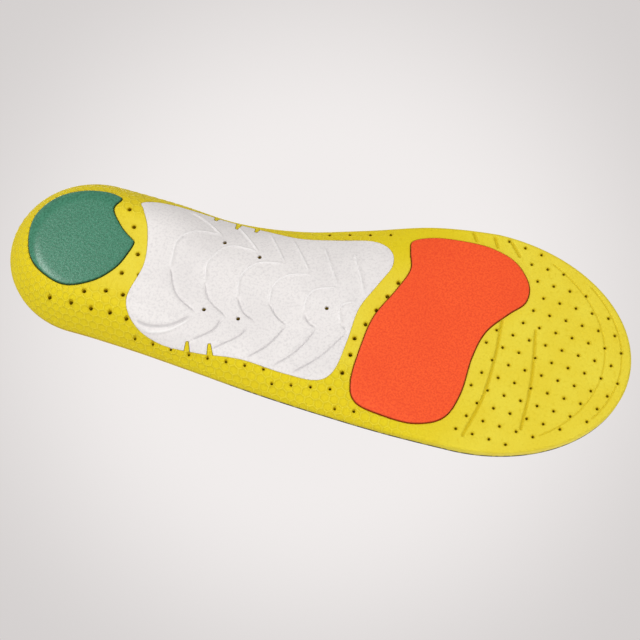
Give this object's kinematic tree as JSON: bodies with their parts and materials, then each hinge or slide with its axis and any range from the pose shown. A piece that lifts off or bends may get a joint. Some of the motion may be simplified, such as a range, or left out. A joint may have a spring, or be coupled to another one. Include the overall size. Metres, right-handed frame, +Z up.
{
  "type": "cushioned insole",
  "caption": "Left shoe insole: cupped foam base with a printed cloth cover, a heel pad, a ribbed arch shank and a forefoot pad set into its underside.",
  "frame": {"origin": "middle of the bounding box, on the plane that the heel and forefoot pads stand on", "axes": "+X to the toe, +Z up through the cover, -Y to the inner side of the foot"},
  "size_m": [0.29, 0.1036, 0.0261],
  "materials": {
    "foam": "matte moulded foam with a fine pebble and a honeycomb band",
    "cement": "dry contact cement",
    "backing": "thin dark felt",
    "cloth": "knitted cloth printed with a street grid",
    "green_pad": "satin elastomer",
    "orange_pad": "speckled matte elastomer",
    "shank": "light grey semi-rigid plastic with embossed ribs"
  },
  "bodies": {
    "root": {"foam_base": "foam", "cover_adhesive": "cement", "cover_backing": "backing", "top_cover": "cloth", "heel_pad": "green_pad", "heel_pad_adhesive": "cement", "arch_shank": "shank", "shank_adhesive": "cement", "forefoot_pad": "orange_pad", "forefoot_pad_adhesive": "cement"}
  },
  "joints": []
}
